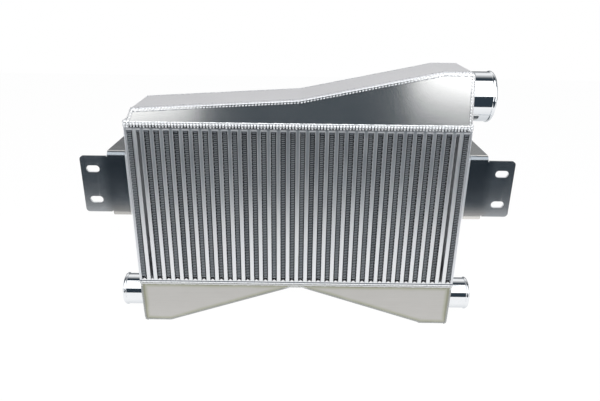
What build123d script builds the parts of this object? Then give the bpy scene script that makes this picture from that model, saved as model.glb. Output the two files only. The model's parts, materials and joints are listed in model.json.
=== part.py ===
from build123d import *
import os

# A bar-and-plate intercooler: a brazed core with an upper and a lower welded tank, three hose pipes and two
# mounting brackets. Millimetres. X runs across the core, -Y is the front, Z is up. The origin is on the ground
# under the middle of the core, where the two feet of the lower tank stand.

# Core: upright charge tubes with columns of air fins between them
CORE_DEPTH = 114.3
CORE_HEIGHT = 310.0
TUBE_COUNT = 35
TUBE_WIDTH = 7.2
PARTING_SHEET = 0.8
TUBE_BAR_DEPTH = 8.0            # front and rear bar of a tube
FIN_WIDTH = 10.0
BARE_SLOT_WIDTH = 6.0           # the column with no fin beside each end tube
SIDE_PLATE = 5.0
CLOSING_BAR_HEIGHT = 9.0
CLOSING_BAR_NOSE = 4.0          # height of the pointed nose on a bar's straight flanks
FIN_SHEET = 0.6
FIN_WAVES = 4
TURBULATOR_SHEET = 0.5
TURBULATOR_WAVES = 1

# Tank sheet metal
TANK_SHEET = 3.0
TANK_BEND = 8.0                 # outer bend radius
TANK_CORNER = 6.0               # tighter rounding at the corners beside a pipe
PIPE_CLEARANCE = 0.3

# Upper tank
OUTLET_OD = 88.9
OUTLET_WALL = 2.2
OUTLET_REACH = 39.0             # beyond the side of the core
OUTLET_FLOOR_GAP = 7.0          # core top to pipe
OUTLET_ROOF_GAP = 7.3           # pipe to roof
UPPER_LEFT_INSET = 15.0
UPPER_LEFT_RISE = 34.3
UPPER_BEND_OFFSET = 3.0         # the hollow bend, from the middle of the core
UPPER_BEND_RISE = 52.6
UPPER_FLAT = 52.5               # level part of the roof at the outlet
UPPER_RIGHT_INSET = 7.5

# Lower tank
INLET_OD = 63.5
INLET_WALL = 2.0
INLET_REACH = 46.0
INLET_FLOOR_GAP = 7.75
INLET_CORE_GAP = 16.75
LOWER_INSET = 2.3
FOOT_LENGTH = 52.7
THROAT_HEIGHT = 10.0            # depth of the tank over the V
THROAT_WIDTH = 24.0

# Raised hose bead near each pipe end
HOSE_BEAD_SETBACK = 4.0
HOSE_BEAD_WIDTH = 6.0
HOSE_BEAD_HEIGHT = 1.6
PIPE_INSERT = 6.0               # how far a pipe reaches behind its plate

# Welds
UPPER_SEAM_HEIGHT = 10.0
UPPER_SEAM_CROWN = 1.8
UPPER_GROOVE = 5.0              # gap between core and sheets that the weld fills
LOWER_SEAM_HEIGHT = 8.0
LOWER_SEAM_CROWN = 1.2
LOWER_GROOVE = 4.0
EDGE_BEAD_LEG = 5.5
EDGE_BEAD_CROWN = 0.8
FLUSH_BEAD_CUT = 1.8            # flat across the corner where the lower tank's beads were ground back
BRACKET_WELD_LEG = 3.5

# Brackets, folded from sheet
BRACKET_SHEET = 4.0
BRACKET_SETBACK = 4.0           # behind the front of the core
BRACKET_HEIGHT = 126.0
BRACKET_DROP = 108.5            # middle of the bracket below the top of the core
BRACKET_BEND = 9.0
BRACKET_REACH = 36.0
FLANGE_LENGTH = 50.0
FLANGE_CORNER = 6.0
SLOT_LENGTH = 24.0
SLOT_WIDTH = 13.0
SLOT_SPACING = 59.5
SLOT_EDGE = 22.0                # slot middle to the end of the flange
RELIEF = 2.0

# Worked out from the above
FIN_COLUMNS = TUBE_COUNT - 1
CORE_WIDTH = 2 * SIDE_PLATE + TUBE_COUNT * TUBE_WIDTH + FIN_COLUMNS * FIN_WIDTH + 2 * BARE_SLOT_WIDTH
HALF_WIDTH = CORE_WIDTH / 2
HALF_DEPTH = CORE_DEPTH / 2
CORE_BOTTOM = INLET_FLOOR_GAP + INLET_OD + INLET_CORE_GAP
CORE_TOP = CORE_BOTTOM + CORE_HEIGHT
ROOF = CORE_TOP + OUTLET_FLOOR_GAP + OUTLET_OD + OUTLET_ROOF_GAP
OUTLET_Z = CORE_TOP + OUTLET_FLOOR_GAP + OUTLET_OD / 2
INLET_Z = INLET_FLOOR_GAP + INLET_OD / 2
PAST = 10.0                     # how far a cutter runs past what it cuts


def save(part, name):
    export_step(part, f"parts/{name}.step")


def group(solids, name):
    save(Compound(children=list(solids)), name)


def core_columns():
    """The X position of the middle of every tube, fin column and bare slot, from left to right."""
    tubes, fins, slots = [], [], []
    x = -HALF_WIDTH + SIDE_PLATE
    for i in range(TUBE_COUNT):
        beside_end_tube = i in (1, TUBE_COUNT - 1)
        middles, width = (slots, BARE_SLOT_WIDTH) if beside_end_tube else (fins, FIN_WIDTH)
        middles.append(x + width / 2)
        x += width
        tubes.append(x + TUBE_WIDTH / 2)
        x += TUBE_WIDTH
    fins.append(x + FIN_WIDTH / 2)
    return tubes, fins, slots


def corrugated(width, length, waves, sheet):
    """A zigzag strip as a face: crests at both sides of the width, waves along the length."""
    swing = (width - sheet) / 2
    steps = 2 * waves
    rise = length / steps
    line = [(swing if i % 2 else -swing, i * rise - length / 2) for i in range(steps + 1)]
    right = [(x + sheet / 2, y) for x, y in line]
    left = [(x - sheet / 2, y) for x, y in reversed(line)]
    return make_face(Polyline(*right, *left, close=True))


def charge_tube():
    outer = Rectangle(TUBE_WIDTH, CORE_DEPTH)
    passage = Rectangle(TUBE_WIDTH - 2 * PARTING_SHEET, CORE_DEPTH - 2 * TUBE_BAR_DEPTH)
    return Pos(0, 0, CORE_BOTTOM) * extrude(outer - passage, CORE_HEIGHT)


def turbulator():
    width = TUBE_WIDTH - 2 * PARTING_SHEET
    length = CORE_DEPTH - 2 * TUBE_BAR_DEPTH
    strip = corrugated(width, length, TURBULATOR_WAVES, TURBULATOR_SHEET)
    return Pos(0, 0, CORE_BOTTOM) * extrude(strip, CORE_HEIGHT)


def air_fin():
    length = CORE_HEIGHT - 2 * CLOSING_BAR_HEIGHT
    strip = corrugated(FIN_WIDTH, length, FIN_WAVES, FIN_SHEET)
    middle = CORE_BOTTOM + CORE_HEIGHT / 2
    return Pos(0, 0, middle) * extrude(Plane.XZ * strip, HALF_DEPTH, both=True)


def closing_bar(width):
    """A bar with a pointed nose, standing on Z = 0 with the nose up."""
    half, shoulder = width / 2, CLOSING_BAR_HEIGHT - CLOSING_BAR_NOSE
    outline = [(-half, 0), (half, 0), (half, shoulder), (0, CLOSING_BAR_HEIGHT), (-half, shoulder)]
    return extrude(Plane.XZ * make_face(Polyline(*outline, close=True)), HALF_DEPTH, both=True)


def side_plate(side):
    plate = Box(SIDE_PLATE, CORE_DEPTH, CORE_HEIGHT, align=(Align.CENTER, Align.CENTER, Align.MIN))
    return Pos(side * (HALF_WIDTH - SIDE_PLATE / 2), 0, CORE_BOTTOM) * plate


def build_core():
    tubes, fins, slots = core_columns()
    tube, strip, fin = charge_tube(), turbulator(), air_fin()
    for number, x in enumerate(tubes, start=1):
        save(Pos(x, 0, 0) * tube, f"charge_tube_{number:02d}")
    group([Pos(x, 0, 0) * strip for x in tubes], "turbulators")
    group([Pos(x, 0, 0) * fin for x in fins], "air_fins")
    bars = [(x, closing_bar(FIN_WIDTH)) for x in fins] + [(x, closing_bar(BARE_SLOT_WIDTH)) for x in slots]
    group([Pos(x, 0, CORE_BOTTOM) * bar for x, bar in bars], "lower_closing_bars")
    group([Pos(x, 0, CORE_TOP) * Rot(0, 180, 0) * bar for x, bar in bars], "upper_closing_bars")
    save(side_plate(-1), "side_plate_left")
    save(side_plate(1), "side_plate_right")


def beyond(start, end):
    """The point a cutter's length past end, on the line from start."""
    return end + (end - start).normalized() * PAST


def band(low, high):
    """A level strip of the side view, wider than the core."""
    return Pos(0, (low + high) / 2) * Rectangle(2 * CORE_WIDTH, high - low)


def tank_side_view(points, radii):
    """The outer face and the cavity of a tank seen from the front. Both run past the core face."""
    line = [beyond(points[1], points[0]), *points[1:-1], beyond(points[-2], points[-1])]
    outer = make_face([FilletPolyline(*line, radius=radii), Line(line[-1], line[0])])
    return outer, offset(outer, -TANK_SHEET)


def corner_square(point):
    """The open corner between two sheets of a side view, which a weld fills."""
    return Pos(point.X, point.Y) * Rectangle(2 * TANK_CORNER, 2 * TANK_CORNER)


def flat_sheet(face, side):
    """A face of the side view made a sheet, flush with the front (-1) or the rear (1) of the core."""
    inner = HALF_DEPTH - TANK_SHEET if side < 0 else -HALF_DEPTH
    return extrude(Plane.XZ.offset(inner) * face, TANK_SHEET)


def between_sheets(face):
    """A face of the side view extruded between the front and the rear sheet."""
    return extrude(Plane.XZ * face, HALF_DEPTH - TANK_SHEET, both=True)


def rod(radius, start, z):
    """A rod along +X on a pipe's axis, from start to past every pipe end."""
    length = CORE_WIDTH
    return Pos(start + length / 2, 0, z) * Rot(0, 90, 0) * Cylinder(radius, length)


def pipe(od, wall, start, end, z):
    """A hose pipe along +X from start to end, with a raised bead near its outer end."""
    outer, inner = od / 2, od / 2 - wall
    bead = end - HOSE_BEAD_SETBACK
    profile = [(start, inner), (start, outer), (bead - HOSE_BEAD_WIDTH / 2, outer), (bead, outer + HOSE_BEAD_HEIGHT),
               (bead + HOSE_BEAD_WIDTH / 2, outer), (end, outer), (end, inner)]
    return Pos(0, 0, z) * revolve(Plane.XZ * make_face(Polyline(*profile, close=True)), Axis.X)


def edge_bead(points, radii, crown, side):
    """Weld metal in the open corner along a tank's front (-1) or rear (1) edge.

    The points run round the side view with the tank on their right. In the section, x is out of the tank in the
    side view and y is out of the sheet's face, and crown is the bead's outer line from the one to the other.
    """
    path = Plane.XZ.offset(-side * HALF_DEPTH) * FilletPolyline(*points, radius=radii)
    along = path % 0
    outward = Vector(-along.Z, 0, along.X)
    corners = [*crown, (0, -TANK_SHEET), (-TANK_SHEET, -TANK_SHEET), (-TANK_SHEET, 0)]
    section = make_face(Polyline(*[(x, -side * y) for x, y in corners], close=True))
    return sweep(Plane(origin=path @ 0, x_dir=outward, z_dir=along) * section, path=path)


def proud_crown():
    """The outer line of a bead that laps over both sheets and stands out from them."""
    toe, shoulder = EDGE_BEAD_LEG, EDGE_BEAD_LEG / 4
    return [(-toe, 0), (-shoulder, EDGE_BEAD_CROWN), (EDGE_BEAD_CROWN, -shoulder), (0, -toe)]


def flush_crown():
    """The outer line of a bead that was ground back level with both sheets."""
    return [(-FLUSH_BEAD_CUT, 0), (0, -FLUSH_BEAD_CUT)]


def core_seam(outer, cavity, low, high, groove_low, groove_high, crown):
    """The weld round a tank's mouth: it fills the groove between core and sheets and stands out as a crown."""
    block = Box(CORE_WIDTH + 2 * crown, CORE_DEPTH + 2 * crown, high - low)
    block = chamfer(block.edges().filter_by(Axis.Z), crown)
    block = chamfer(block.edges().group_by(Axis.Z)[0] + block.edges().group_by(Axis.Z)[-1], 0.9 * crown)
    envelope = extrude(Plane.XZ * outer, HALF_DEPTH, both=True)
    ring = Pos(0, 0, (low + high) / 2) * block - envelope
    groove = band(groove_low, groove_high)
    fill = extrude(Plane.XZ * (outer & groove), HALF_DEPTH, both=True) - between_sheets(cavity & groove)
    return ring + fill


def clear_of_core(part):
    core = Box(2 * CORE_WIDTH, 2 * CORE_DEPTH, CORE_HEIGHT, align=(Align.CENTER, Align.CENTER, Align.MIN))
    return part - Pos(0, 0, CORE_BOTTOM) * core


def upper_outline():
    left = Vector(-HALF_WIDTH, CORE_TOP)
    shoulder = left + Vector(UPPER_LEFT_INSET, UPPER_LEFT_RISE)
    hollow = Vector(UPPER_BEND_OFFSET, CORE_TOP + UPPER_BEND_RISE)
    corner = Vector(HALF_WIDTH - UPPER_RIGHT_INSET, ROOF)
    right = Vector(HALF_WIDTH, CORE_TOP)
    return [left, shoulder, hollow, corner - Vector(UPPER_FLAT, 0), corner, right]


def build_upper_tank():
    points = upper_outline()
    radii = [TANK_BEND, TANK_BEND, TANK_BEND, TANK_CORNER]
    outer, cavity = tank_side_view(points, radii)
    corner = points[-2]
    sheets = band(CORE_TOP + UPPER_GROOVE, ROOF + PAST)
    pipe_start = corner.X - TANK_SHEET - PIPE_INSERT
    roof, end_plate = ((outer - cavity) & sheets - corner_square(corner)).faces().sort_by(Axis.X)
    save(flat_sheet(cavity & sheets, -1), "upper_tank_front")
    save(flat_sheet(cavity & sheets, 1), "upper_tank_rear")
    save(between_sheets(roof), "upper_tank_roof")
    hole = rod(OUTLET_OD / 2 + PIPE_CLEARANCE, pipe_start, OUTLET_Z)
    save(between_sheets(end_plate) - hole, "upper_tank_end_plate")
    save(pipe(OUTLET_OD, OUTLET_WALL, pipe_start, HALF_WIDTH + OUTLET_REACH, OUTLET_Z), "outlet_pipe")
    welds = core_seam(outer, cavity, CORE_TOP, CORE_TOP + UPPER_SEAM_HEIGHT, CORE_TOP, CORE_TOP + UPPER_GROOVE,
                      UPPER_SEAM_CROWN)
    welds += between_sheets((outer - cavity) & corner_square(corner))
    for side in (-1, 1):
        welds += edge_bead(points, radii, proud_crown(), side)
    save(clear_of_core(welds) - rod(OUTLET_OD / 2, pipe_start, OUTLET_Z), "upper_tank_welds")


def lower_outline():
    right = Vector(HALF_WIDTH, CORE_BOTTOM)
    heel = Vector(HALF_WIDTH - LOWER_INSET, 0)
    toe = heel - Vector(FOOT_LENGTH, 0)
    throat = Vector(THROAT_WIDTH / 2, CORE_BOTTOM - THROAT_HEIGHT)
    half = [right, heel, toe, throat]
    return half + [Vector(-p.X, p.Y) for p in reversed(half)]


def build_lower_tank():
    points = lower_outline()
    radii = [TANK_CORNER, TANK_BEND, TANK_BEND, TANK_BEND, TANK_BEND, TANK_CORNER]
    outer, cavity = tank_side_view(points, radii)
    heel = points[1]
    sheets = band(-PAST, CORE_BOTTOM - LOWER_GROOVE)
    pipe_start = heel.X - TANK_SHEET - PIPE_INSERT
    save(flat_sheet(cavity & sheets, -1), "lower_tank_front")
    save(flat_sheet(cavity & sheets, 1), "lower_tank_rear")
    hole = rod(INLET_OD / 2 + PIPE_CLEARANCE, pipe_start, INLET_Z)
    save(between_sheets((outer - cavity) & sheets) - hole - mirror(hole, Plane.YZ), "lower_tank_wrap")
    inlet = pipe(INLET_OD, INLET_WALL, pipe_start, HALF_WIDTH + INLET_REACH, INLET_Z)
    group([inlet, mirror(inlet, Plane.YZ)], "inlet_pipes")
    welds = core_seam(outer, cavity, CORE_BOTTOM - LOWER_SEAM_HEIGHT, CORE_BOTTOM, CORE_BOTTOM - LOWER_GROOVE,
                      CORE_BOTTOM, LOWER_SEAM_CROWN)
    for side in (-1, 1):
        welds += edge_bead(points, radii, flush_crown(), side)
    save(clear_of_core(welds), "lower_tank_welds")


def bracket_line():
    """The outside of the folded channel seen from the side of the core, as (Y, Z) from rear to rear."""
    front = BRACKET_SETBACK - HALF_DEPTH
    middle = CORE_TOP - BRACKET_DROP
    top, bottom = middle + BRACKET_HEIGHT / 2, middle - BRACKET_HEIGHT / 2
    return [(HALF_DEPTH, top), (front, top), (front, bottom), (HALF_DEPTH, bottom)]


def bracket_channel():
    line = FilletPolyline(*bracket_line(), radius=BRACKET_BEND)
    outer = make_face([*line.edges(), Line(line @ 1, line @ 0)])
    cavity = offset(outer, -BRACKET_SHEET)
    hollow = cavity + Pos(2 * BRACKET_SHEET, 0) * cavity
    return Pos(HALF_WIDTH, 0, 0) * extrude(Plane.YZ * (outer - hollow), BRACKET_REACH)


def bracket_flange():
    """The slotted ear that goes on from the web, with a relief notch at each fold."""
    height = BRACKET_HEIGHT - 2 * BRACKET_BEND
    ear = Rectangle(FLANGE_LENGTH, height)
    ear = fillet(ear.vertices().group_by(Axis.X)[-1], FLANGE_CORNER)
    slot = SlotOverall(SLOT_LENGTH, SLOT_WIDTH)
    for end in (-1, 1):
        ear -= Pos(FLANGE_LENGTH / 2 - SLOT_EDGE, end * SLOT_SPACING / 2) * slot
        ear -= Pos((RELIEF - FLANGE_LENGTH) / 2, end * height / 2) * Rectangle(RELIEF, 2 * RELIEF)
    x = HALF_WIDTH + BRACKET_REACH + FLANGE_LENGTH / 2
    back = HALF_DEPTH - BRACKET_SETBACK - BRACKET_SHEET
    return extrude(Plane.XZ.offset(back) * Pos(x, CORE_TOP - BRACKET_DROP) * ear, BRACKET_SHEET)


def bracket_weld():
    """A fillet weld that follows the channel round its outside, against the side plate."""
    path = Pos(HALF_WIDTH, 0, 0) * (Plane.YZ * FilletPolyline(*bracket_line(), radius=BRACKET_BEND))
    section = make_face(Polyline((0, 0), (BRACKET_WELD_LEG, 0), (0, -BRACKET_WELD_LEG), close=True))
    return sweep(Plane(origin=path @ 0, x_dir=(0, 0, 1), z_dir=path % 0) * section, path=path)


def build_brackets():
    bracket = bracket_channel() + bracket_flange()
    weld = bracket_weld()
    save(bracket, "bracket_right")
    save(mirror(bracket, Plane.YZ), "bracket_left")
    group([weld, mirror(weld, Plane.YZ)], "bracket_welds")


if __name__ == "__main__":
    os.makedirs("parts", exist_ok=True)
    build_core()
    build_upper_tank()
    build_lower_tank()
    build_brackets()
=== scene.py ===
import json
import math

import bmesh
import bpy
from mathutils import Matrix, Vector


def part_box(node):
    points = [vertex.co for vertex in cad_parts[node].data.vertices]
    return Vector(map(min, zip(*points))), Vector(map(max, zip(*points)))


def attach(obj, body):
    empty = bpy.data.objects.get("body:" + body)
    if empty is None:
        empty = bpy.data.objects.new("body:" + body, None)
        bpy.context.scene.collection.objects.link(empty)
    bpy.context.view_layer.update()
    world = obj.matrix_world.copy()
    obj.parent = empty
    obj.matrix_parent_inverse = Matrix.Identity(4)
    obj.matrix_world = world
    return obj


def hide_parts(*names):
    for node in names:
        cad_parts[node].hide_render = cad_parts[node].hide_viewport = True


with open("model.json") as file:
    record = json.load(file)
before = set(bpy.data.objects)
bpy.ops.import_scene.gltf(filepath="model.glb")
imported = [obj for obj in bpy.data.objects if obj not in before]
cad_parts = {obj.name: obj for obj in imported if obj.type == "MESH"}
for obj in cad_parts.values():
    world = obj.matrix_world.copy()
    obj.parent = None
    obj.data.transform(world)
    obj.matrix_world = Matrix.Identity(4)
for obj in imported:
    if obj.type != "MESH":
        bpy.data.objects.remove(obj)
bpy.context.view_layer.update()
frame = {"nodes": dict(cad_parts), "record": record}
NODES = frame["nodes"]
MM = 0.001
UP = Vector((0, 0, 1))

# camera
EYE = Vector((0.0053, -0.9958, 0.6402))
PITCH = math.radians(21.82)
ROLL = math.radians(0.78)
LENS = 32.9
SENSOR_WIDTH = 36
NEAR_CLIP = 0.01

# the core, read from the frame
SIDE_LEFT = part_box("side_plate_left")
SIDE_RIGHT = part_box("side_plate_right")
TUBES = sorted((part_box(name) for name in NODES if name.startswith("charge_tube")), key=lambda box: box[0][0])
TUBE_MIDDLE = 0.5 * (TUBES[9][0].x + TUBES[9][1].x)     # of any tube but the two at the ends
TUBE_PITCH = TUBES[10][0].x - TUBES[9][0].x
CORE_RIGHT = SIDE_RIGHT[1].x
CORE_FRONT, CORE_REAR = TUBES[0][0].y, TUBES[0][1].y
CORE_BOTTOM, CORE_TOP = TUBES[0][0].z, TUBES[0][1].z
FIN_LOW, FIN_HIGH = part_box("air_fins")[0].z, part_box("air_fins")[1].z

# air fins
FIN_SHEET = 0.6 * MM
FIN_WAVE_COUNT = 42
FIN_GAP = 0.6 * MM              # between the crests and the bars
FIN_SETBACK = 0.3 * MM
FIN_SLACK = 0.02                # the shortest strip against the longest
FIN_CREST = 0.09                # how far a crest is rounded, as a share of the column's width
FIN_SLOPE = 0.08                # how far a flank climbs, in waves
FIN_PRESS_LENGTH = 2 * MM       # the pressed lip at the front and the rear of a strip
FIN_PRESS_RISE = 1.5 * MM

# tank outlines in the side view, as (X, Z)
UPPER_OUTLINE = [(-0.307, 0.398), (-0.292, 0.4323), (0.003, 0.4506), (0.247, 0.5012), (0.2995, 0.5012), (0.307, 0.398)]
LOWER_OUTLINE = [(0.307, 0.088), (0.3047, 0.0), (0.252, 0.0), (0.012, 0.078), (-0.012, 0.078), (-0.252, 0.0),
                 (-0.3047, 0.0), (-0.307, 0.088)]
TANK_ROUND = 6 * MM

# weld beads
RIPPLE_PITCH = 5.6 * MM
RIPPLE_SEGMENTS = 10
RIPPLE_RINGS = 6
UPPER_SEAM = (CORE_TOP, CORE_TOP + 10 * MM)
LOWER_SEAM = (CORE_BOTTOM - 8 * MM, CORE_BOTTOM)
SEAM_WALL = 2 * MM              # behind the crown of a seam's smooth strip
STRIP_CROWN = 0.5 * MM
PIPE_FILLET = 3.2 * MM
GROUND_CUT = 0.2 * MM           # above the ground, where the lower beads are cut flat

# pipes
PIPE_STEPS = 96
OUTLET_WALL = 2.2 * MM
INLET_WALL = 2.0 * MM
INLET_INSERT = 12 * MM          # behind the side of the core
LIP = 0.3                       # rounding of a pipe's end, as a share of its wall
BEAD_SETBACK = 4 * MM
BEAD_HALF_WIDTH = 3 * MM
BEAD_HEIGHT = 1.6 * MM
BEAD_STEPS = 8
INLET_RADIUS = 31.75 * MM
OUTLET_RADIUS = 44.45 * MM

# brackets
BRACKET_LOW, BRACKET_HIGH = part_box("bracket_left")
BRACKET_MIDDLE = 0.5 * (BRACKET_LOW.z + BRACKET_HIGH.z)
BRACKET_SHEET = 4 * MM
SLOT_RADIUS = 6.5 * MM
SLOT_STRAIGHT = 11 * MM
SLOT_SPACING = 59.5 * MM
SLOT_EDGE = 22 * MM             # from a slot's middle to the flange's end
SLOT_STEPS = 48
FLANGE_HEIGHT = 108 * MM
FLANGE_CORNER = 6.7 * MM
CORNER_STEPS = 12
CUT_DEPTH = 12 * MM
CUT_PAST = 3 * MM               # how far a corner's cutter runs past the flange

# bars and side plates
TUBE_EDGE = 0.8 * MM
PLATE_EDGE = 1.2 * MM

# edges up to these angles are shaded smooth, in degrees
WELD_ANGLE = 60
FIN_ANGLE = 50
PIPE_ANGLE = 40
BAR_ANGLE = 35
FOLD_ANGLE = 28


def make_camera():
    view = bpy.data.cameras.new("camera")
    view.lens = LENS
    view.sensor_width = SENSOR_WIDTH
    view.clip_start = NEAR_CLIP
    camera = bpy.data.objects.new("camera", view)
    turn = Matrix.Rotation(math.radians(90) - PITCH, 4, "X") @ Matrix.Rotation(ROLL, 4, "Z")
    camera.matrix_world = Matrix.Translation(EYE) @ turn
    bpy.context.scene.collection.objects.link(camera)
    bpy.context.scene.camera = camera


make_camera()


# ---------------------------------------------------------------- shader maths

class Value:
    """A shader socket that can be added, multiplied and compared like a number."""

    def __init__(self, finish, socket):
        self.finish = finish
        self.socket = socket

    def maths(self, operation, first, second):
        return self.finish.add("ShaderNodeMath", {"operation": operation}, {0: first, 1: second})

    def __add__(self, other):
        return self.maths("ADD", self, other)

    __radd__ = __add__

    def __sub__(self, other):
        return self.maths("SUBTRACT", self, other)

    def __rsub__(self, other):
        return self.maths("SUBTRACT", other, self)

    def __mul__(self, other):
        return self.maths("MULTIPLY", self, other)

    __rmul__ = __mul__

    def __truediv__(self, other):
        return self.maths("DIVIDE", self, other)

    def __abs__(self):
        return self.maths("ABSOLUTE", self, 0.0)

    def at_least(self, other):
        return self.maths("MAXIMUM", self, other)

    def at_most(self, other):
        return self.maths("MINIMUM", self, other)

    def fraction(self):
        return self.maths("FRACT", self, 0.0)

    def above(self, edge, softness):
        """0 below the edge and 1 above it, with a soft step."""
        settings = {"interpolation_type": "SMOOTHSTEP"}
        ends = {"Value": self, "From Min": edge - softness, "From Max": edge + softness}
        return self.finish.add("ShaderNodeMapRange", settings, ends, "Result")


class Finish:
    """A material, or the world, whose nodes are added by type, settings and inputs."""

    def __init__(self, owner):
        owner.use_nodes = True
        self.owner = owner
        self.tree = owner.node_tree
        self.tree.nodes.clear()

    def raw(self, kind, settings=None, inputs=None):
        node = self.tree.nodes.new(kind)
        for name, value in (settings or {}).items():
            setattr(node, name, value)
        for name, value in (inputs or {}).items():
            if isinstance(value, Value):
                self.tree.links.new(value.socket, node.inputs[name])
            else:
                node.inputs[name].default_value = value
        return node

    def add(self, kind, settings=None, inputs=None, output=0):
        return Value(self, self.raw(kind, settings, inputs).outputs[output])

    def place(self, stretch=(1, 1, 1)):
        """Object coordinates, stretched along the axes."""
        at = self.add("ShaderNodeTexCoord", output="Object")
        return self.add("ShaderNodeMapping", None, {"Vector": at, "Scale": stretch})

    def noise(self, stretch, scale=1.0, detail=3.0, roughness=0.5):
        inputs = {"Vector": self.place(stretch), "Scale": scale, "Detail": detail, "Roughness": roughness}
        return self.add("ShaderNodeTexNoise", None, inputs, "Fac")

    def axes(self, names, space="Object"):
        """The coordinates along the named axes, such as XZ."""
        at = self.add("ShaderNodeTexCoord", output=space)
        node = self.raw("ShaderNodeSeparateXYZ", None, {"Vector": at})
        return [Value(self, node.outputs[name]) for name in names]

    def colours(self, factor, dark, light):
        """A mix of two colours, the first where the factor is 0 and the second where it is 1."""
        node = self.raw("ShaderNodeMix", {"data_type": "RGBA"})
        self.tree.links.new(factor.socket, node.inputs[0])
        for slot, colour in ((6, dark), (7, light)):
            if isinstance(colour, Value):
                self.tree.links.new(colour.socket, node.inputs[slot])
            else:
                node.inputs[slot].default_value = (*colour, 1)
        return Value(self, node.outputs[2])

    def bump(self, height, distance, strength=1.0):
        inputs = {"Height": height, "Distance": distance, "Strength": strength}
        return self.add("ShaderNodeBump", None, inputs, "Normal")

    def metal(self, colour, roughness, normal=None, metallic=1.0):
        inputs = {"Base Color": colour, "Roughness": roughness, "Metallic": metallic}
        if normal is not None:
            inputs["Normal"] = normal
        self.surface(self.add("ShaderNodeBsdfPrincipled", None, inputs))

    def surface(self, shader):
        kind = "ShaderNodeOutputWorld" if isinstance(self.owner, bpy.types.World) else "ShaderNodeOutputMaterial"
        self.raw(kind, None, {"Surface": shader})


def new_finish(name):
    return Finish(bpy.data.materials.new(name))


# ---------------------------------------------------------------- places read from the frame

def pipe_axis(node):
    """The height of a pipe's axis and its outer radius under the hose bead."""
    low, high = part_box(node)
    return (low.z + high.z) / 2, (high.z - low.z) / 2 - BEAD_HEIGHT


def fin_centres():
    """The middle of each finned column, which is every gap but the two bare ones, and the column's width."""
    edges = [SIDE_LEFT[1].x] + [x for low, high in TUBES for x in (low.x, high.x)] + [SIDE_RIGHT[0].x]
    gaps = list(zip(edges[0::2], edges[1::2]))
    widest = max(high - low for low, high in gaps)
    return [(low + high) / 2 for low, high in gaps if high - low > 0.8 * widest], widest


# ---------------------------------------------------------------- finishes

# painted shade: the dark colour painted along the groove at the foot of the core and under its upper seam, where only
# shade falls
GAP_SHADE_COLOUR = (0.1, 0.12, 0.15)
GAP_SHADE_FOOT = (CORE_BOTTOM + 2 * MM, CORE_BOTTOM + 4 * MM)
SEAM_SHADE_TOP = CORE_TOP - 1.7 * MM
TOE = 6.2 * MM                  # from a tank's outline to the toe of its edge bead


def painted_gap_shade(f):
    """Painted shade of the gaps: 1 along the groove at the foot of the core, about half in the shade under its upper
    seam, and 0 elsewhere.
    """
    z, = f.axes("Z")
    foot = z.above(GAP_SHADE_FOOT[0], 0.2 * MM) - z.above(GAP_SHADE_FOOT[1], 0.3 * MM)
    return foot + z.above(SEAM_SHADE_TOP, 0.3 * MM) * 0.55


def painted_toe_shadow(f, distance, width):
    """A broken painted shadow line of a given width along the toe of a bead, by the distance to the tank's outline."""
    line = distance.above(TOE, 0.5 * MM) - distance.above(TOE + width, 0.6 * MM)
    return line * f.noise((230, 60, 60), detail=2.0).above(0.47, 0.14)


def from_gap_middle(x):
    """The distance from the middle of the nearest gap between two charge tubes."""
    return abs(((x - TUBE_MIDDLE) / TUBE_PITCH).fraction() - 0.5) * TUBE_PITCH


# the band of painted shade down the middle of each tube's upper half: its half width and the height where it starts
MID_SHADE_HALF_WIDTH = 2.2 * MM
MID_SHADE_FOOT = 0.27


def extruded_bar():
    """Drawn aluminium bar: fine uneven streaks along its length, with painted shade down the middle of its upper half.
    """
    f = new_finish("extruded_bar")
    streaks = f.noise((420, 420, 9), detail=4.0, roughness=0.6)
    blotches = f.noise((40, 40, 22))
    uneven = (streaks * 0.65 + blotches * 0.35 - 0.5) * 1.7 + 0.5
    bare = f.colours(uneven, (0.8, 0.83, 0.87), (1.0, 1.0, 1.0))
    x, z = f.axes("XZ")
    aside = TUBE_PITCH / 2 - from_gap_middle(x)
    # painted shade: the hollow here is no dent but a darker band painted down the middle of each tube's upper half
    hollow = (1.0 - aside.above(MID_SHADE_HALF_WIDTH, 0.9 * MM)) * z.above(MID_SHADE_FOOT, 0.06)
    bare = f.colours(hollow * 0.5, bare, (0.42, 0.46, 0.5))
    # painted shade along the gap lines at the foot of the core and under its upper seam
    f.metal(f.colours(painted_gap_shade(f), bare, GAP_SHADE_COLOUR), blotches * 0.12 + 0.33, f.bump(streaks, 0.12 * MM, 0.5))
    return f.owner


# the pale front edge left out of the painted shade: its depth and half width
FIN_RIM_DEPTH = 2.0 * MM
FIN_RIM_HALF_WIDTH = 3.1 * MM


def fin_strip():
    """Thin rolled strip with painted shade: near black inside the core and beside the tubes, with its pale front edge
    left only along the middle of each column.
    """
    f = new_finish("fin_strip")
    blotches = f.noise((60, 60, 60), detail=4.0)
    # painted shade: the strip is painted near black inside the core, where shade falls
    inside = f.colours(blotches, (0.03, 0.034, 0.038), (0.1, 0.11, 0.12))
    x, y = f.axes("XY")
    last_column = fin_centres()[0][-1]
    aside = from_gap_middle(x).at_most(abs(abs(x) - last_column))
    # painted shade behind the front edge and beside the tubes, leaving the pale front edge only along the middle of
    # each column
    rim = abs(y).above(CORE_REAR - FIN_RIM_DEPTH, 0.5 * MM) * (1.0 - aside.above(FIN_RIM_HALF_WIDTH, 0.5 * MM))
    f.metal(f.colours(rim, inside, (0.4, 0.43, 0.46)), blotches * 0.2 + 0.35, metallic=0.85)
    return f.owner


NOSE_DEPTH = 4.3 * MM


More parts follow.
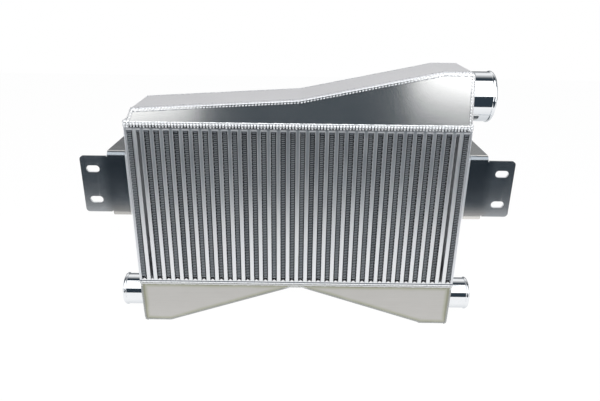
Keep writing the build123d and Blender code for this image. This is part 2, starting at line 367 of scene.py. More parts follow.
def cut_bar():
    """Sawn bar: bright at the foot of the core, with painted shade under the noses at its top."""
    f = new_finish("cut_bar")
    grain = f.noise((700, 700, 700), detail=2.0)
    bare = f.colours(grain, (0.9, 0.92, 0.95), (1.0, 1.0, 1.0))
    z, = f.axes("Z")
    # painted shade: the bar is painted darker under the noses at its top
    painted_nose_shade = z.above(0.5 * (CORE_BOTTOM + CORE_TOP), MM) - z.above(CORE_TOP - NOSE_DEPTH, 0.3 * MM)
    # painted shade along the gap lines at the foot of the core and under its upper seam
    f.metal(f.colours((painted_gap_shade(f) + painted_nose_shade * 0.8).at_most(1.0), bare, GAP_SHADE_COLOUR), grain * 0.15 + 0.38)
    return f.owner


def rolled_sheet():
    """Mill sheet with faint upright streaks."""
    f = new_finish("rolled_sheet")
    streaks = f.noise((700, 700, 10))
    bare = f.colours(streaks, (0.72, 0.74, 0.77), (0.9, 0.92, 0.95))
    # painted shade along the gap lines at the foot of the core and under its upper seam
    f.metal(f.colours(painted_gap_shade(f), bare, GAP_SHADE_COLOUR), streaks * 0.15 + 0.32)
    return f.owner


# the upper tank's front plate: where its bump starts to bow back at each end, and how much
BOW_LEFT, BOW_LEFT_AMOUNT = -0.062, 0.85
BOW_RIGHT, BOW_RIGHT_AMOUNT = 0.08, 0.8


def rise_line(x, start, end):
    """The height of the straight line through two outline points, above any x."""
    slope = (end[1] - start[1]) / (end[0] - start[0])
    return x * slope + (start[1] - start[0] * slope)


def brushed_sheet():
    """Sheet with soft reflections, faint upright brush lines, a bump that shades its ends as if they bow back a
    little, and a painted shadow along the toe of its edge bead.
    """
    f = new_finish("brushed_sheet")
    lines = f.noise((700, 700, 12))
    clouds = f.noise((9, 9, 9))
    colour = f.colours(lines * 0.5 + clouds * 0.5, (0.88, 0.875, 0.86), (0.97, 0.965, 0.95))
    x, z = f.axes("XZ")
    left, right = (BOW_LEFT - x).at_least(0.0), (x - BOW_RIGHT).at_least(0.0)
    height = left * left * -BOW_LEFT_AMOUNT - right * right * BOW_RIGHT_AMOUNT
    foot, shoulder, hollow, crest, corner, end = UPPER_OUTLINE
    top = rise_line(x, shoulder, hollow).at_least(rise_line(x, hollow, crest)).at_most(crest[1]) - z
    right_lean = (end[0] - corner[0]) / (corner[1] - end[1])
    left_lean = (shoulder[0] - foot[0]) / (shoulder[1] - foot[1])
    from_right = end[0] - x - (z - end[1]) * right_lean
    from_left = (x - foot[0] - (z - foot[1]) * left_lean) * math.cos(math.atan(left_lean))
    ends = from_right.at_most(from_left)
    # painted shadow: a broken dark line along the toe of the edge bead
    colour = f.colours(painted_toe_shadow(f, top.at_most(ends), 1.4 * MM) * 0.85, colour, (0.12, 0.14, 0.18))
    f.metal(colour, lines * 0.03 + clouds * 0.08 + 0.2, f.bump(height, 1.0))
    return f.owner


def blasted_sheet():
    """Fine bead-blasted sheet: an even stipple with no clear reflections, and a painted shadow line at the toe of its
    edge beads.
    """
    f = new_finish("blasted_sheet")
    stipple = (f.noise((1, 1, 1), scale=420.0, roughness=0.8) - 0.5) * 2.0 + 0.5
    clouds = f.noise((14, 14, 14))
    colour = f.colours(stipple * 0.8 + clouds * 0.2, (0.86, 0.84, 0.86), (1.0, 1.0, 1.0))
    y, z = f.axes("YZ")
    # painted shadow: a broken dark line along the toe of the edge beads
    toe_shadow_mask = painted_toe_shadow(f, CORE_REAR - abs(y), 2.6 * MM) * z.above(CORE_TOP, MM)
    colour = f.colours(toe_shadow_mask * 0.85, colour, (0.14, 0.16, 0.2))
    f.metal(colour, clouds * 0.1 + 0.5, f.bump(stipple, 0.1 * MM, 0.6))
    return f.owner


HEAT_WIDTH = 9 * MM
# the width of the painted shadow line along the toe of the edge beads
TOE_SHADE_WIDTH = 5.6 * MM
TANK_TOP = CORE_BOTTOM - 0.5 * MM
TANK_END = 0.304


def satin_sheet():
    """Satin sheet with an olive tint along its welded edges and a painted shadow line at the toe of the edge beads."""
    f = new_finish("satin_sheet")
    lines = f.noise((16, 600, 600))
    clouds = f.noise((18, 18, 30), detail=4.0)
    bare = f.colours(lines * 0.4 + clouds * 0.6, (0.5, 0.49, 0.47), (0.63, 0.62, 0.6))
    x, z = f.axes("XZ")
    out = abs(x)
    above_slope = z - rise_line(out, LOWER_OUTLINE[2], LOWER_OUTLINE[3])
    edge = above_slope.at_most(z).at_most(TANK_TOP - z).at_most(TANK_END - out) + (clouds - 0.5) * 5 * MM
    heat = 1.0 - edge.above(HEAT_WIDTH, 4 * MM)
    # painted shadow: a dark line along the toe of the edge beads
    rim = 1.0 - edge.above(TOE_SHADE_WIDTH, 0.8 * MM)
    tinted = f.colours(heat * 0.8, bare, (0.42, 0.43, 0.33))
    f.metal(f.colours(rim * 0.5, tinted, (0.22, 0.22, 0.17)), clouds * 0.12 + 0.36, f.bump(lines, 0.04 * MM, 0.4))
    return f.owner


# painted shade is laid in the valleys between the ribs within this band
SEAM_BAND = (CORE_TOP - 3 * MM, CORE_TOP + 7 * MM)      # where valleys show between the ribs
VALLEY_DEPTH = 0.9 * MM                                 # out from the core's face
LOWER_WELDS = CORE_BOTTOM + 4 * MM
LOWER_EDGE_WELDS = CORE_BOTTOM - 9.5 * MM


def weld_metal():
    """Weld metal: bright on the upper tank with painted shade in the valleys between the ribs, duller on the lower
    tank.
    """
    f = new_finish("weld_metal")
    grain = f.noise((1, 1, 1), scale=520.0)
    clouds = f.noise((60, 60, 60))
    bright = f.colours(clouds, (0.82, 0.84, 0.87), (0.98, 0.99, 1.0))
    x, y, z = f.axes("XYZ")
    depth = (abs(y) - CORE_REAR).at_least(abs(x) - CORE_RIGHT)
    band = z.above(SEAM_BAND[0], 0.1 * MM) - z.above(SEAM_BAND[1], 1.5 * MM)
    painted_valley_shade = (1.0 - depth.above(VALLEY_DEPTH, 0.35 * MM)) * band
    edge = 1.0 - z.above(LOWER_EDGE_WELDS, MM)
    lower = 1.0 - z.above(LOWER_WELDS, MM)
    dull = f.colours(lower, bright, (0.64, 0.65, 0.65))
    # painted shade: the valleys between the ribs are painted darker
    colour = f.colours(painted_valley_shade * 0.18, f.colours(edge, dull, (0.38, 0.39, 0.38)), (0.22, 0.24, 0.27))
    f.metal(colour, grain * 0.1 + 0.24, f.bump(grain, 0.1 * MM, 0.4), metallic=0.9)
    return f.owner


WEB_END = 0.35                  # the fold between a bracket's web and its slotted ear, from the middle
SLOTS_FROM, SLOTS_TO = 0.357, 0.385


def bracket_sheet():
    """Rolled sheet with painted reflections: dark in front, lighter at the foot, on the right and on the ear past the
    fold, paler on the folds behind, with painted highlights on the walls of the slots.
    """
    f = new_finish("bracket_sheet")
    lines = f.noise((14, 700, 700))
    clouds = f.noise((30, 30, 24))
    x, y, z = f.axes("XYZ")
    # painted reflection: the front is painted dark, as the dark room shows in it
    web = f.colours(lines * 0.4 + clouds * 0.6, (0.24, 0.27, 0.3), (0.38, 0.41, 0.44))
    # painted reflection: lighter towards the foot, where the floor shows in it
    foot = 1.0 - z.above(BRACKET_LOW.z + 20 * MM, 20 * MM)
    # painted light: the right bracket is painted lighter than the left
    right = x.above(0.0, 10 * MM)
    front = f.colours(foot, web, f.colours(right, (0.5, 0.49, 0.47), (0.74, 0.72, 0.69)))
    # painted reflection: the ear past the fold is painted lighter than the web
    front = f.colours(abs(x).above(WEB_END, 12 * MM), front, (0.64, 0.66, 0.68))
    # painted light on the folds behind, lighter on the right and darker at the foot
    fold = f.colours(foot, f.colours(right, (0.62, 0.61, 0.6), (0.97, 0.95, 0.91)), (0.72, 0.7, 0.67))
    colour = f.colours(y.above(BRACKET_LOW.y + BRACKET_SHEET + MM, MM), front, fold)
    # painted highlight: the walls of the slots are painted near white
    wall = y.above(BRACKET_LOW.y + 0.4 * MM, 0.3 * MM) * (1.0 - abs(z - BRACKET_MIDDLE).above(42 * MM, MM))
    wall = wall * (abs(x).above(SLOTS_FROM, MM) - abs(x).above(SLOTS_TO, MM))
    colour = f.colours(wall, colour, (0.96, 0.97, 0.98))
    f.metal(colour, clouds * 0.08 + lines * 0.04 + wall * 0.3 + 0.14, f.bump(lines, 0.03 * MM, 0.4))
    return f.owner


def polished_pipe():
    """Mirror polish, with painted shade on the underside."""
    f = new_finish("polished_pipe")
    smears = f.noise((60, 60, 60), detail=4.0)
    bright = f.colours(smears, (0.84, 0.86, 0.88), (0.9, 0.915, 0.935))
    z, = f.axes("Z")
    inlet_z, outlet_z = pipe_axis("inlet_pipes")[0], pipe_axis("outlet_pipe")[0]
    outlet = z.above(0.5 * (inlet_z + outlet_z), 0.01)
    radius = outlet * (OUTLET_RADIUS - INLET_RADIUS) + INLET_RADIUS
    height = (z - outlet * (outlet_z - inlet_z) - inlet_z) / radius
    # painted shade: the underside of each pipe is painted greyer
    under = 1.0 - height.above(-0.6, 0.4)
    f.metal(f.colours(under * 0.85, bright, (0.5, 0.54, 0.58)), smears * 0.06 + 0.03)
    return f.owner


FINISHES = {
    "tube_bar": extruded_bar(), "fin": fin_strip(), "turbulator": fin_strip(), "closing_bar": cut_bar(),
    "side_plate": rolled_sheet(), "brushed_sheet": brushed_sheet(), "matte_sheet": blasted_sheet(),
    "satin_sheet": satin_sheet(), "weld": weld_metal(), "bracket": bracket_sheet(), "polished_pipe": polished_pipe(),
}


def dress_nodes():
    """Gives each carried-over node the finish of its own slot."""
    for part in frame["record"]["subparts"]:
        mesh = NODES[part["node"]].data
        mesh.materials.clear()
        mesh.materials.append(FINISHES[part["material_slot"]])


# ---------------------------------------------------------------- modelling helpers

def deselect():
    bpy.ops.object.select_all(action="DESELECT")


def select_only(piece):
    deselect()
    piece.select_set(True)
    bpy.context.view_layer.objects.active = piece


def edit(piece):
    """Opens a piece in edit mode with nothing selected."""
    select_only(piece)
    bpy.ops.object.mode_set(mode="EDIT")
    bpy.ops.mesh.select_mode(type="VERT")
    bpy.ops.mesh.select_all(action="DESELECT")


def select_whole():
    bpy.ops.mesh.select_all(action="SELECT")


def pick(piece, kind, test):
    """Selects the vertices or faces that pass a test, in edit mode."""
    mesh = bmesh.from_edit_mesh(piece.data)
    for item in getattr(mesh, kind):
        if test(item):
            item.select_set(True)
    mesh.select_flush(True)
    bmesh.update_edit_mesh(piece.data)


def leave_edit():
    bpy.ops.object.mode_set(mode="OBJECT")


def apply(piece, name, kind, **settings):
    """Adds a modifier and applies it."""
    modifier = piece.modifiers.new(name, kind)
    for setting, value in settings.items():
        setattr(modifier, setting, value)
    select_only(piece)
    bpy.ops.object.modifier_apply(modifier=name)


def copy_of(template, matrix):
    """A copy with its own mesh, moved by a matrix."""
    piece = template.copy()
    piece.data = template.data.copy()
    piece.data.transform(matrix)
    bpy.context.scene.collection.objects.link(piece)
    return piece


def join(pieces, name):
    """Makes one named piece of several."""
    deselect()
    for piece in pieces:
        piece.select_set(True)
    bpy.context.view_layer.objects.active = pieces[0]
    if len(pieces) > 1:
        bpy.ops.object.join()
    piece = bpy.context.view_layer.objects.active
    bpy.ops.object.transform_apply(location=True, rotation=True, scale=True)
    piece.name = name
    piece.data.name = name
    return piece


def discard(piece):
    bpy.data.objects.remove(piece, do_unlink=True)


def hand_over(piece, slot, *nodes, angle=BAR_ANGLE):
    """Shades a finished piece, gives it its finish and puts it in the place of its nodes."""
    select_only(piece)
    bpy.ops.object.shade_smooth_by_angle(angle=math.radians(angle))
    piece.data.materials.clear()
    piece.data.materials.append(FINISHES[slot])
    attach(piece, "root")
    if nodes:
        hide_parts(*nodes)


# ---------------------------------------------------------------- air fins

def start_line(points):
    """A new mesh of one open line through the points, drawn from a plane merged to its middle."""
    deselect()
    bpy.ops.mesh.primitive_plane_add(size=2 * MM, location=points[0])
    line = bpy.context.active_object
    bpy.ops.object.transform_apply(location=True)
    edit(line)
    select_whole()
    bpy.ops.mesh.merge(type="CENTER")
    for a, b in zip(points, points[1:]):
        bpy.ops.mesh.extrude_vertices_move(TRANSFORM_OT_translate={"value": Vector(b) - Vector(a)})
    return line


def make_air_fins():
    """Corrugated strips whose lips drop a little at the front and the rear face."""
    centres, width = fin_centres()
    pitch = (FIN_HIGH - FIN_LOW) / FIN_WAVE_COUNT
    reach = width / 2 - FIN_GAP
    front, rear = CORE_FRONT + FIN_SETBACK, CORE_REAR - FIN_SETBACK
    turn, quarter, climb = FIN_CREST * width, pitch / 4, FIN_SLOPE * pitch
    flank = 2 * (reach - turn)
    steps = [(turn, quarter), (-turn, quarter), (-flank, climb), (-turn, quarter), (turn, quarter), (flank, -climb)]
    x = reach - turn
    line = [(x, front, FIN_LOW), (x, front + FIN_PRESS_LENGTH, FIN_LOW + FIN_PRESS_RISE),
            (x, rear - FIN_PRESS_LENGTH, FIN_LOW + FIN_PRESS_RISE), (x, rear, FIN_LOW)]
    strip = start_line(line)
    select_whole()
    for across, up in steps:
        bpy.ops.mesh.extrude_edges_move(TRANSFORM_OT_translate={"value": (across, 0, up)})
    leave_edit()
    apply(strip, "waves", "ARRAY", count=FIN_WAVE_COUNT, use_relative_offset=False, use_constant_offset=True,
          constant_offset_displace=(0, 0, pitch), use_merge_vertices=True, merge_threshold=0.01 * MM)
    apply(strip, "sheet", "SOLIDIFY", thickness=FIN_SHEET, offset=0)
    columns = []
    for number, x in enumerate(centres):
        depth = 1 - FIN_SLACK * (5 * number % 7) / 6
        columns.append(copy_of(strip, Matrix.Translation((x, 0, 0)) @ Matrix.Diagonal((1, depth, 1, 1))))
    discard(strip)
    hand_over(join(columns, "air_fin_strips"), "fin", "air_fins", angle=FIN_ANGLE)


# ---------------------------------------------------------------- weld beads

def round_off(points, radius):
    """An open outline with each corner turned into a short arc of three points."""
    points = [Vector(p) for p in points]
    route = [points[0]]
    for before, corner, after in zip(points, points[1:], points[2:]):
        to, away = (before - corner).normalized(), (after - corner).normalized()
        half = to.angle(away) / 2
        reach = radius / math.tan(half)
        inward = (to + away).normalized()
        centre = corner + inward * (radius / math.sin(half))
        route += [corner + to * reach, centre - inward * radius, corner + away * reach]
    return route + [points[-1]]


def steps_along(route, pitch):
    """Evenly spaced places along a route, with the direction of travel at each."""
    total = sum((b - a).length for a, b in zip(route, route[1:]))
    count = max(1, round(total / pitch))
    spacing, travelled, due = total / count, 0.0, 0.5 * total / count
    for a, b in zip(route, route[1:]):
        length = (b - a).length
        while due <= travelled + length + 1e-9 and due < total:
            yield a + (b - a) * ((due - travelled) / length), (b - a).normalized()
            due += spacing
        travelled += length


def ripple_shape():
    """One ripple of weld metal, a ball of unit radius to be stretched along its bead."""
    deselect()
    bpy.ops.mesh.primitive_uv_sphere_add(segments=RIPPLE_SEGMENTS, ring_count=RIPPLE_RINGS, radius=1,
                                         location=(0, 0, 0))
    return bpy.context.active_object


def lay_ripple(template, at, along, across, out, sizes, lean=0.0):
    """A ripple at a place, sized along the bead, across it and out of it, leaning along the bead."""
    axes = Matrix((along * sizes[0], across * sizes[1], out * sizes[2])).transposed().to_4x4()
    skew = Matrix.Identity(4)
    skew[0][2] = lean
    return copy_of(template, Matrix.Translation(at) @ axes @ skew)


def edge_bead(outline, side, back, sizes, lean=0.3):
    """Ripples in the open corner along a tank's front (-1) or rear (1) edge, set back from it."""
    y = CORE_FRONT if side < 0 else CORE_REAR
    face = Vector((0, side, 0))
    route = [Vector((p.x, y, p.y)) for p in round_off(outline, TANK_ROUND)]
    template = ripple_shape()
    ripples = []
    for at, along in steps_along(route, RIPPLE_PITCH):
        outward = Vector((-along.z, 0, along.x))
        out = (outward + face).normalized()
        across = (outward - face).normalized()
        ripples.append(lay_ripple(template, at - (outward + face) * back, along, across, out, sizes, lean))
    discard(template)
    return ripples


def ring_places(z, pitch, inset):
    """Places round the four faces of the core at a height, with their directions, inset from each corner."""
    x, y = CORE_RIGHT, CORE_REAR
    corners = [Vector((-x, -y, z)), Vector((x, -y, z)), Vector((x, y, z)), Vector((-x, y, z)), Vector((-x, -y, z))]
    for start, end in zip(corners, corners[1:]):
        short = (end - start).normalized() * inset
        for at, along in steps_along([start + short, end - short], pitch):
            yield at, along, Vector((along.y, -along.x, 0))


def seam_strip(low, high, crown):
    """The smooth part of the bead round a tank's mouth."""
    deselect()
    bpy.ops.mesh.primitive_cube_add(size=1, location=(0, 0, (low + high) / 2))
    strip = bpy.context.active_object
    strip.scale = (2 * (CORE_RIGHT + crown), 2 * (CORE_REAR + crown), high - low)
    bpy.ops.object.transform_apply(location=True, scale=True)
    edit(strip)
    bpy.ops.mesh.select_mode(type="FACE")
    pick(strip, "faces", lambda face: abs(face.normal.z) > 0.5)
    bpy.ops.mesh.delete(type="FACE")
    leave_edit()
    apply(strip, "wall", "SOLIDIFY", thickness=crown + SEAM_WALL, offset=-1)
    apply(strip, "rounding", "BEVEL", width=0.9 * crown, segments=3, limit_method="ANGLE")
    return strip


def seam_row(low, high, crown, embed, stretch, lean, tilt=0.0):
    """A row of ripples round a tank's mouth between two heights.

    Each ripple stands out from the core by the crown, with its middle embedded behind the core's face. It is as
    long as stretch times the pitch to each side and leans along the bead, and the tilt brings its lower end out.
    """
    template = ripple_shape()
    tall = (high - low) / 2
    sizes = (stretch * RIPPLE_PITCH, tall, math.sqrt((crown + embed) ** 2 - (tall * tilt) ** 2))
    inset = max(0.0, sizes[0] - RIPPLE_PITCH / 2 - crown)
    ripples = []
    for number, (at, along, out) in enumerate(ring_places((low + high) / 2, RIPPLE_PITCH, inset)):
        uneven = 0.87 + 0.13 * math.sin(1.9 * number) * math.sin(0.7 * number + 1)
        size = (sizes[0], sizes[1] * uneven, sizes[2] * (0.5 + 0.5 * uneven))
        across, face = (UP - out * tilt).normalized(), (out + UP * tilt).normalized()
        ripples.append(lay_ripple(template, at - out * embed, along, across, face, size, lean))
    discard(template)
    return ripples


def edge_beads(outline, back, sizes):
    """The beads along a tank's front and rear edge."""
    return edge_bead(outline, -1, back, sizes) + edge_bead(outline, 1, back, sizes)


def pipe_ring(x, side, z, radius, leg):
    """Ripples in the corner between a pipe and the plate that it comes out of."""
    template = ripple_shape()
    count = round(math.tau * radius / RIPPLE_PITCH)
    ripples = []
    for i in range(count):
        turn = math.tau * i / count
        out = Vector((0, math.sin(turn), math.cos(turn)))
        along = Vector((0, math.cos(turn), -math.sin(turn)))
        face = Vector((side, 0, 0))
        at = Vector((x, 0, z)) + out * radius
        ripples.append(lay_ripple(template, at, along, (out - face).normalized(), (out + face).normalized(),
                                  (0.85 * RIPPLE_PITCH, leg, 0.75 * leg), 0.3))
    discard(template)
    return ripples


def make_upper_welds():
    """Upright ribs under a lapping cap round the tank's mouth, and the beads along its edges."""
    low, high = UPPER_SEAM
    ribs = seam_row(low - 1.4 * MM, high + 1.8 * MM, crown=1.7 * MM, embed=1.6 * MM, stretch=0.45, lean=0.15, tilt=0.2)
    cap = seam_row(low + 5 * MM, high + 4 * MM, crown=1.35 * MM, embed=2.0 * MM, stretch=0.9, lean=0.0, tilt=0.4)
    strip = seam_strip(low, high, STRIP_CROWN)
    hand_over(join(ribs + cap + [strip], "upper_seam_weld"), "weld", angle=WELD_ANGLE)
    beads = edge_beads(UPPER_OUTLINE, back=3.2 * MM, sizes=(0.6 * RIPPLE_PITCH, 5.3 * MM, 1.95 * MM))
    hand_over(join(beads, "upper_edge_welds"), "weld", "upper_tank_welds", angle=WELD_ANGLE)


def make_lower_welds():
    """A low bead round the tank's mouth, and flatter ones along its edges, which end level with the ground."""
    low, high = LOWER_SEAM[0] + 1.5 * MM, LOWER_SEAM[1] + 2 * MM
    row = seam_row(low, high, crown=1.15 * MM, embed=1.5 * MM, stretch=1.2, lean=0.2)
    strip = seam_strip(low, high, STRIP_CROWN)
    hand_over(join(row + [strip], "lower_seam_weld"), "weld", angle=WELD_ANGLE)
    beads = edge_beads(LOWER_OUTLINE, back=2.2 * MM, sizes=(1.1 * RIPPLE_PITCH, 3.4 * MM, 1.9 * MM))
    beads = join(beads, "lower_edge_welds")
    edit(beads)
    select_whole()
    bpy.ops.mesh.bisect(plane_co=(0, 0, GROUND_CUT), plane_no=UP, use_fill=True, clear_inner=True)
    leave_edit()
    hand_over(beads, "weld", "lower_tank_welds", angle=WELD_ANGLE)


def make_pipe_welds():
    """The rings of weld where the outlet and the two inlets come out of the tanks' ends."""
    z, radius = pipe_axis("outlet_pipe")
    rings = pipe_ring(upper_end_face(z), 1, z, radius, PIPE_FILLET)
    z, radius = pipe_axis("inlet_pipes")
    for side in (1, -1):
        rings += pipe_ring(side * lower_end_face(z), side, z, radius, PIPE_FILLET)
    hand_over(join(rings, "pipe_welds"), "weld", angle=WELD_ANGLE)


def upper_end_face(z):
    """Where the outer face of the upper tank's leaning end is, at a height."""
    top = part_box("upper_tank_end_plate")[1].z
    corner_x, foot_x = UPPER_OUTLINE[-2][0], UPPER_OUTLINE[-1][0]
    return corner_x + (foot_x - corner_x) * (top - z) / (top - CORE_TOP)


def lower_end_face(z):
    """How far out the outer face of the lower tank's leaning ends is, at a height."""
    top_x, floor_x = LOWER_OUTLINE[0][0], LOWER_OUTLINE[1][0]
    return floor_x + (top_x - floor_x) * z / CORE_BOTTOM


# ---------------------------------------------------------------- pipes

def pipe_profile(start, end, outer, wall):
    """The pipe's section as (distance along, radius), with a rolled bead near its end and rounded lips."""
    bead = end - BEAD_SETBACK
    profile = [(start, outer)]
    for i in range(BEAD_STEPS + 1):
        turn = math.pi * i / BEAD_STEPS
        profile.append((bead - BEAD_HALF_WIDTH * math.cos(turn), outer + BEAD_HEIGHT * math.sin(turn) ** 2))
    lip = LIP * wall
    profile += [(end - lip, outer), (end, outer - lip), (end, outer - wall + lip), (end - lip, outer - wall)]
    return profile + [(start, outer - wall)]


def make_pipe(side, start, end, outer, wall, z):
    """Draws the section point by point and spins it round the pipe's axis."""
    profile = pipe_profile(start, end, outer, wall)
    pipe = start_line([(side * along, 0, z + radius) for along, radius in profile])
    select_whole()
    bpy.ops.mesh.spin(steps=PIPE_STEPS, angle=math.tau, center=(0, 0, z), axis=(1, 0, 0))
    select_whole()
    bpy.ops.mesh.remove_doubles(threshold=0.01 * MM)
    bpy.ops.mesh.normals_make_consistent(inside=False)
    leave_edit()
    return pipe


def make_pipes():
    low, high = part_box("outlet_pipe")
    z, outer = pipe_axis("outlet_pipe")
    outlet = make_pipe(1, low.x, high.x, outer, OUTLET_WALL, z)
    hand_over(join([outlet], "outlet_hose_pipe"), "polished_pipe", "outlet_pipe", angle=PIPE_ANGLE)
    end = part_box("inlet_pipes")[1].x
    z, outer = pipe_axis("inlet_pipes")
    inlets = [make_pipe(side, CORE_RIGHT - INLET_INSERT, end, outer, INLET_WALL, z) for side in (1, -1)]
    hand_over(join(inlets, "inlet_hose_pipes"), "polished_pipe", "inlet_pipes", angle=PIPE_ANGLE)


# ---------------------------------------------------------------- folded sheets

def detach(node):
    """A free copy of a carried-over node, with its loose triangles merged."""
    piece = copy_of(NODES[node], Matrix.Identity(4))
    piece.parent = None
    for key in list(piece.keys()):
        del piece[key]
    edit(piece)
    select_whole()
    bpy.ops.mesh.remove_doubles(threshold=0.001 * MM)
    leave_edit()
    return piece


def smooth_copy(slot, *nodes):
    """Copies sheets whose folds are facets and shades the folds smooth."""
    for node in nodes:
        piece = detach(node)
        piece.name = node + "_sheet"
        hand_over(piece, slot, node, angle=FOLD_ANGLE)
        apply(piece, "flat_faces", "WEIGHTED_NORMAL", keep_sharp=True)


# ---------------------------------------------------------------- brackets

def slot_cutter(x, y, z):
    """A bar with round ends across a flange: a cylinder whose halves are moved apart."""
    deselect()
    bpy.ops.mesh.primitive_cylinder_add(vertices=SLOT_STEPS, radius=SLOT_RADIUS, depth=CUT_DEPTH, location=(x, y, z),
                                        rotation=(math.pi / 2, 0, 0))
    cutter = bpy.context.active_object
    bpy.ops.object.transform_apply(location=True, rotation=True)
    for way in (-1, 1):
        edit(cutter)
        pick(cutter, "verts", lambda vertex: (vertex.co.x - x) * way > 0.01 * MM)
        bpy.ops.transform.translate(value=(way * SLOT_STRAIGHT / 2, 0, 0))
        leave_edit()
    return cutter


def corner_cutter(x, y, z, out, up):
    """What a round corner lacks of a square one, past the flange on both sides."""
    middle_x, middle_z = x - out * FLANGE_CORNER, z - up * FLANGE_CORNER
    past_x, past_z = x + out * CUT_PAST, z + up * CUT_PAST
    front = y - CUT_DEPTH / 2
    outline = []
    for step in range(CORNER_STEPS + 1):
        turn = math.pi / 2 * step / CORNER_STEPS
        outline.append((middle_x + out * FLANGE_CORNER * math.cos(turn), front,
                        middle_z + up * FLANGE_CORNER * math.sin(turn)))
    outline += [(middle_x, front, past_z), (past_x, front, past_z), (past_x, front, middle_z)]
    cutter = start_line(outline)
    select_whole()
    bpy.ops.mesh.edge_face_add()
    select_whole()
    bpy.ops.mesh.extrude_region_move(TRANSFORM_OT_translate={"value": (0, CUT_DEPTH, 0)})
    select_whole()
    bpy.ops.mesh.normals_make_consistent(inside=False)
    leave_edit()
    return cutter


def make_brackets():
    """Cuts the slots and the outer corners of both folded brackets round."""
    for node, side in (("bracket_left", -1), ("bracket_right", 1)):
        low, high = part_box(node)
        y, end = low.y + BRACKET_SHEET / 2, high.x if side > 0 else low.x
        cutters = []
        for up in (-1, 1):
            cutters.append(slot_cutter(end - side * SLOT_EDGE, y, BRACKET_MIDDLE + up * SLOT_SPACING / 2))
            cutters.append(corner_cutter(end, y, BRACKET_MIDDLE + up * FLANGE_HEIGHT / 2, side, up))
        tool = join(cutters, node + "_cutters")
        piece = detach(node)
        piece.name = node + "_sheet"
        apply(piece, "holes", "BOOLEAN", operation="DIFFERENCE", solver="EXACT", object=tool)
        discard(tool)
        hand_over(piece, "bracket", node, angle=FOLD_ANGLE)
        apply(piece, "flat_faces", "WEIGHTED_NORMAL", keep_sharp=True)


# ---------------------------------------------------------------- bars

def rounded_bars(name, slot, nodes, radius):
    """Copies bars with their edges broken to a small radius."""
    bars = join([detach(node) for node in nodes], name)
    edit(bars)
    select_whole()
    bpy.ops.mesh.dissolve_limited(angle_limit=math.radians(1))
    leave_edit()
    apply(bars, "edges", "BEVEL", width=radius, segments=3, limit_method="ANGLE")
    hand_over(bars, slot, *nodes)
    apply(bars, "flat_faces", "WEIGHTED_NORMAL", keep_sharp=True)


# ---------------------------------------------------------------- studio

FLOOR_FRONT = -0.6
FLOOR_REAR = 3.0
FLOOR_HALF = 3.0
FLOOR_SEEN = 0.95
FLOOR_PALE = 0.8
FLOOR_GLOW = 1.03
DARK_ROOM = (0.03, 0.044, 0.058)


def stage_white(name, seen, lit):
    """White to the camera and in the metal, and a pale matte surface to the light."""
    f = new_finish(name)
    path = f.raw("ShaderNodeLightPath")
    camera, glossy = Value(f, path.outputs["Is Camera Ray"]), Value(f, path.outputs["Is Glossy Ray"])
    matte = f.add("ShaderNodeBsdfDiffuse", None, {"Color": (lit, lit, lit, 1)})
    glow = f.add("ShaderNodeEmission", None, {"Color": (1, 1, 1, 1), "Strength": FLOOR_GLOW})
    through = Value(f, path.outputs["Is Transmission Ray"])
    factor = camera * seen + (glossy + through) * 0.9
    mixed = f.add("ShaderNodeMixShader", None, {"Fac": factor, 1: matte, 2: glow})
    f.surface(mixed)
    return f.owner


def make_floor():
    deselect()
    middle = (FLOOR_FRONT + FLOOR_REAR) / 2
    bpy.ops.mesh.primitive_plane_add(size=1, location=(0, middle, 0))
    floor = bpy.context.active_object
    floor.name = "floor"
    floor.scale = (2 * FLOOR_HALF, FLOOR_REAR - FLOOR_FRONT, 1)
    bpy.ops.object.transform_apply(location=True, scale=True)
    floor.data.materials.append(stage_white("floor_white", FLOOR_SEEN, FLOOR_PALE))


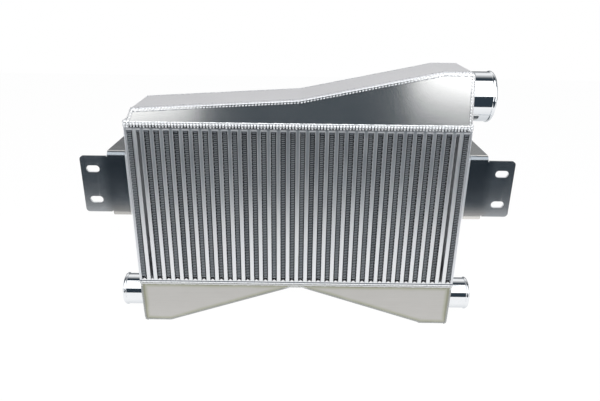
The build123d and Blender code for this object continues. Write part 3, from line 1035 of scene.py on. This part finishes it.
def softbox(name, at, aim, width, height, radiance):
    """A rectangular lamp that shows in the metal at a given brightness."""
    data = bpy.data.lights.new(name, "AREA")
    data.shape = "RECTANGLE"
    data.size, data.size_y = width, height
    data.energy = radiance * width * height * math.pi
    lamp = bpy.data.objects.new(name, data)
    direction = Vector(aim) - Vector(at)
    lamp.matrix_world = Matrix.Translation(at) @ direction.to_track_quat("-Z", "Y").to_matrix().to_4x4()
    bpy.context.scene.collection.objects.link(lamp)
    lamp.visible_camera = False


def make_world():
    """White behind the object; in the metal, a dark room below and in front and a pale ceiling behind."""
    world = bpy.data.worlds.new("studio")
    bpy.context.scene.world = world
    f = Finish(world)
    y, z = f.axes("YZ", space="Generated")
    behind = y.above(0.42, 0.28)
    pale = behind * (z.above(0.45, 0.2) * 0.86 + 0.14)
    colour = f.colours(pale, DARK_ROOM, (1.0, 1.0, 1.0))
    room = f.add("ShaderNodeBackground", None, {"Color": colour, "Strength": 1.0})
    white = f.add("ShaderNodeBackground", None, {"Color": (1, 1, 1, 1), "Strength": 1.0})
    path = f.raw("ShaderNodeLightPath")
    camera = Value(f, path.outputs["Is Camera Ray"])
    f.surface(f.add("ShaderNodeMixShader", None, {"Fac": camera, 1: room, 2: white}))


def make_lamps():
    softbox("front_softbox", at=(0, -0.715, 1.225), aim=(0, -0.066, 0.464), width=2.6, height=1.617, radiance=1.5)
    softbox("left_softbox", at=(-1.3, -0.75, 0.7), aim=(0, 0, 0.7), width=1.3, height=1.14, radiance=1.5)
    softbox("right_softbox", at=(1.3, -0.75, 0.8), aim=(0, 0, 0.8), width=1.3, height=1.12, radiance=1.9)


bpy.context.scene.view_settings.view_transform = "Standard"
make_world()
make_floor()
make_lamps()
dress_nodes()
make_air_fins()
make_upper_welds()
make_lower_welds()
make_pipes()
make_pipe_welds()
make_brackets()
smooth_copy("matte_sheet", "upper_tank_roof", "lower_tank_wrap", "upper_tank_end_plate")
tube_names = [name for name in sorted(NODES) if name.startswith("charge_tube")]
rounded_bars("charge_tube_bars", "tube_bar", tube_names, TUBE_EDGE)
rounded_bars("side_plates", "side_plate", ["side_plate_left", "side_plate_right"], PLATE_EDGE)
